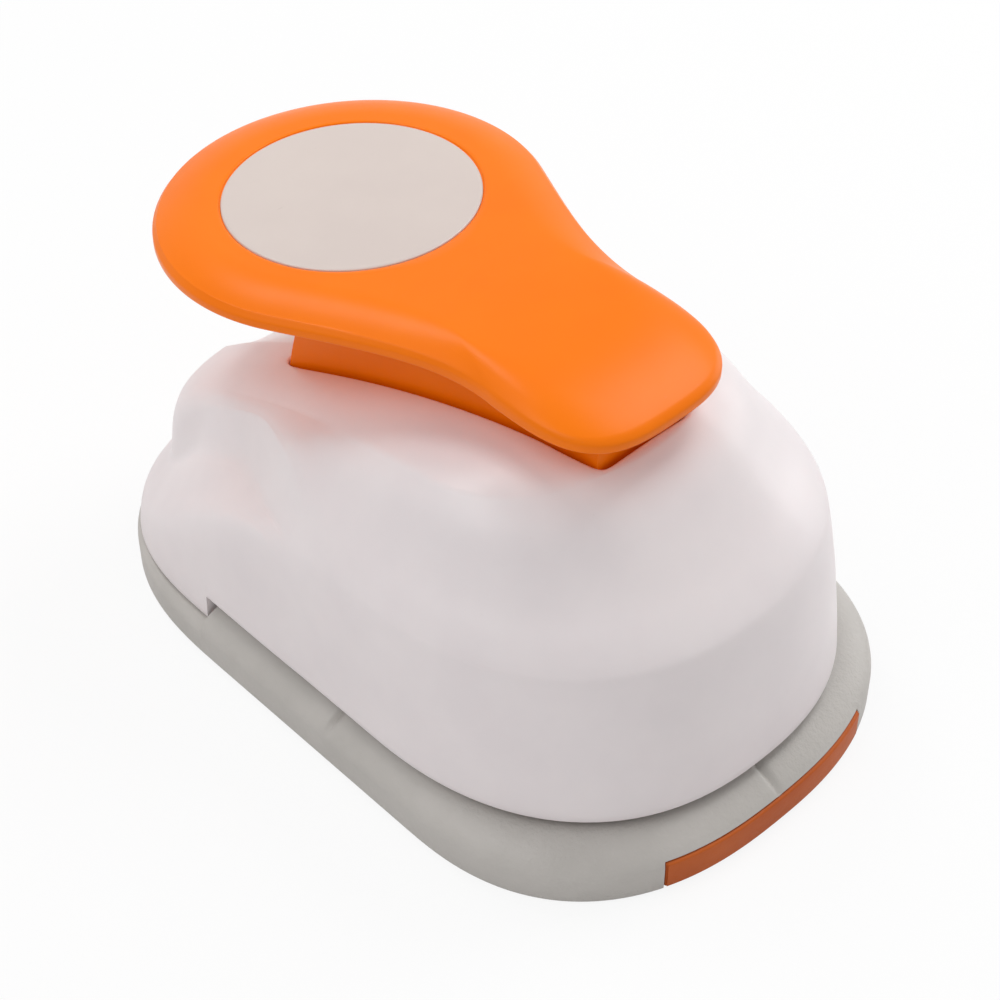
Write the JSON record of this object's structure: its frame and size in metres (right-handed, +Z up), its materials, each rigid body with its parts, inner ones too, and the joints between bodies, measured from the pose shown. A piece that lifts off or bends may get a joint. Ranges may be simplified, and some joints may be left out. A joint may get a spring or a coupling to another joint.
{
  "type": "circle punch",
  "caption": "Lever hand punch that cuts discs out of paper: domed housing over a flat base, wide round lever pad with an inlaid disc, front paper slot and a sliding storage lock",
  "frame": {"origin": "under the middle of the base, on the surface that the punch stands on", "axes": "+X to the right, +Y to the rear, away from the paper slot, +Z up"},
  "size_m": [0.0796, 0.1184, 0.0656],
  "materials": {
    "white_plastic": "satin moulded",
    "orange_plastic": "satin moulded",
    "terracotta_plastic": "satin moulded",
    "grey_plastic": "fine texture",
    "inlay_film": "satin film",
    "steel": "ground",
    "cast_zinc": "die cast",
    "nylon": "moulded"
  },
  "bodies": {
    "body": {"base": "grey_plastic", "bottom_cover": "grey_plastic", "upper_housing": "white_plastic", "die_plate": "steel", "guide_frame": "cast_zinc", "guide_post_left": "steel", "guide_post_right": "steel", "hinge_pin": "steel", "return_spring_left": "steel", "return_spring_right": "steel", "pin_clip_1": "steel", "pin_clip_2": "steel", "housing_screw_1": "steel", "housing_screw_2": "steel", "housing_screw_3": "steel", "housing_screw_4": "steel", "cover_screw_1": "steel", "cover_screw_2": "steel", "frame_screw_1": "steel", "frame_screw_2": "steel", "die_screw_1": "steel", "die_screw_2": "steel", "die_screw_3": "steel", "die_screw_4": "steel"},
    "lever_arm": {"lever": "orange_plastic", "lever_inlay": "inlay_film"},
    "punch_set": {"punch": "steel", "presser": "nylon", "punch_screw_1": "steel", "punch_screw_2": "steel"},
    "lock": {"lock_slide": "terracotta_plastic"}
  },
  "joints": [
    {"name": "lever_hinge", "type": "hinge", "parent": "body", "child": "lever_arm", "pos_m": [0, -0.04, 0.027], "axis": [-1, 0, 0], "range_deg": [0, 12], "stiffness_Nm_per_rad": 3, "springref_deg": -5.73},
    {"name": "punch_slide", "type": "slide", "parent": "body", "child": "punch_set", "axis": [0, 0, -1], "range_m": [0, 0.0071], "deforming": ["return_spring_left", "return_spring_right"]},
    {"name": "lock_travel", "type": "slide", "parent": "body", "child": "lock", "axis": [0, 1, 0], "range_m": [0, 0.005]}
  ],
  "couplings": [
    {"joint": "punch_slide", "follows": "lever_hinge", "m_per_rad": 0.0334}
  ]
}
